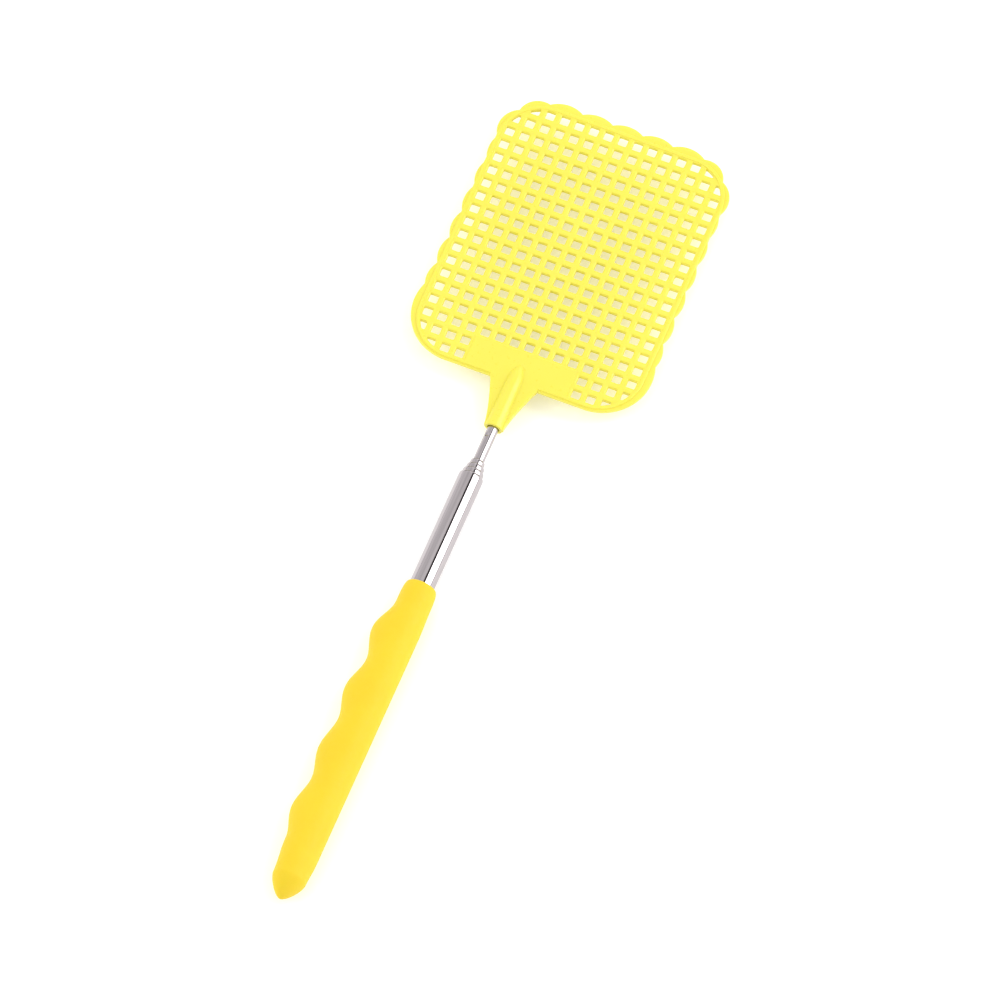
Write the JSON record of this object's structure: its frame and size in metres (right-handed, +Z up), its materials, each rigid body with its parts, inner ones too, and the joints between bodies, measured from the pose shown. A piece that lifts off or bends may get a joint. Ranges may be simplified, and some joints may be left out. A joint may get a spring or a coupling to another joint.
{
  "type": "telescoping fly swatter",
  "caption": "Hand fly swatter: scalloped square-mesh plastic head on a telescoping steel pole, with a soft domed grip that has finger ridges.",
  "frame": {"origin": "on the surface the swatter lies on, under the middle of the whole swatter with the pole pushed in", "axes": "+Y along the pole from the grip to the head, +Z up out of the head's flat face, finger ridges of the grip towards -X"},
  "size_m": [0.0794, 0.2889, 0.0121],
  "materials": {
    "head_plastic": "satin injection-moulded plastic, lemon yellow",
    "grip_vinyl": "matte soft vinyl, warm yellow",
    "steel_tube": "bright drawn stainless steel",
    "turned_steel": "turned steel",
    "bush_brass": "turned brass",
    "spring_bronze": "rolled bronze sheet"
  },
  "bodies": {
    "handle": {"grip_sleeve": "grip_vinyl", "outer_tube": "steel_tube", "base_plug": "turned_steel"},
    "spring_pair_2": {"spring_2a": "spring_bronze", "spring_2b": "spring_bronze"},
    "section_2": {"tube_2": "steel_tube", "bush_2": "bush_brass"},
    "spring_pair_3": {"spring_3a": "spring_bronze", "spring_3b": "spring_bronze"},
    "section_3": {"tube_3": "steel_tube", "bush_3": "bush_brass"},
    "spring_pair_4": {"spring_4a": "spring_bronze", "spring_4b": "spring_bronze"},
    "section_4": {"tube_4": "steel_tube", "bush_4": "bush_brass"},
    "spring_pair_5": {"spring_5a": "spring_bronze", "spring_5b": "spring_bronze"},
    "section_5": {"tube_5": "steel_tube", "bush_5": "bush_brass", "tip_core": "turned_steel", "swatter_head": "head_plastic"}
  },
  "joints": [
    {"name": "slide_2", "type": "slide", "parent": "handle", "child": "spring_pair_2", "axis": [0, 1, 0], "range_m": [0, 0.1284]},
    {"name": "turn_2", "type": "hinge", "parent": "spring_pair_2", "child": "section_2", "pos_m": [0, 0, 0.00605], "axis": [0, 1, 0], "continuous": true},
    {"name": "slide_3", "type": "slide", "parent": "section_2", "child": "spring_pair_3", "axis": [0, 1, 0], "range_m": [0, 0.11845]},
    {"name": "turn_3", "type": "hinge", "parent": "spring_pair_3", "child": "section_3", "pos_m": [0, 0, 0.00605], "axis": [0, 1, 0], "continuous": true},
    {"name": "slide_4", "type": "slide", "parent": "section_3", "child": "spring_pair_4", "axis": [0, 1, 0], "range_m": [0, 0.1085]},
    {"name": "turn_4", "type": "hinge", "parent": "spring_pair_4", "child": "section_4", "pos_m": [0, 0, 0.00605], "axis": [0, 1, 0], "continuous": true},
    {"name": "slide_5", "type": "slide", "parent": "section_4", "child": "spring_pair_5", "axis": [0, 1, 0], "range_m": [0, 0.09855]},
    {"name": "turn_5", "type": "hinge", "parent": "spring_pair_5", "child": "section_5", "pos_m": [0, 0, 0.00605], "axis": [0, 1, 0], "continuous": true}
  ]
}
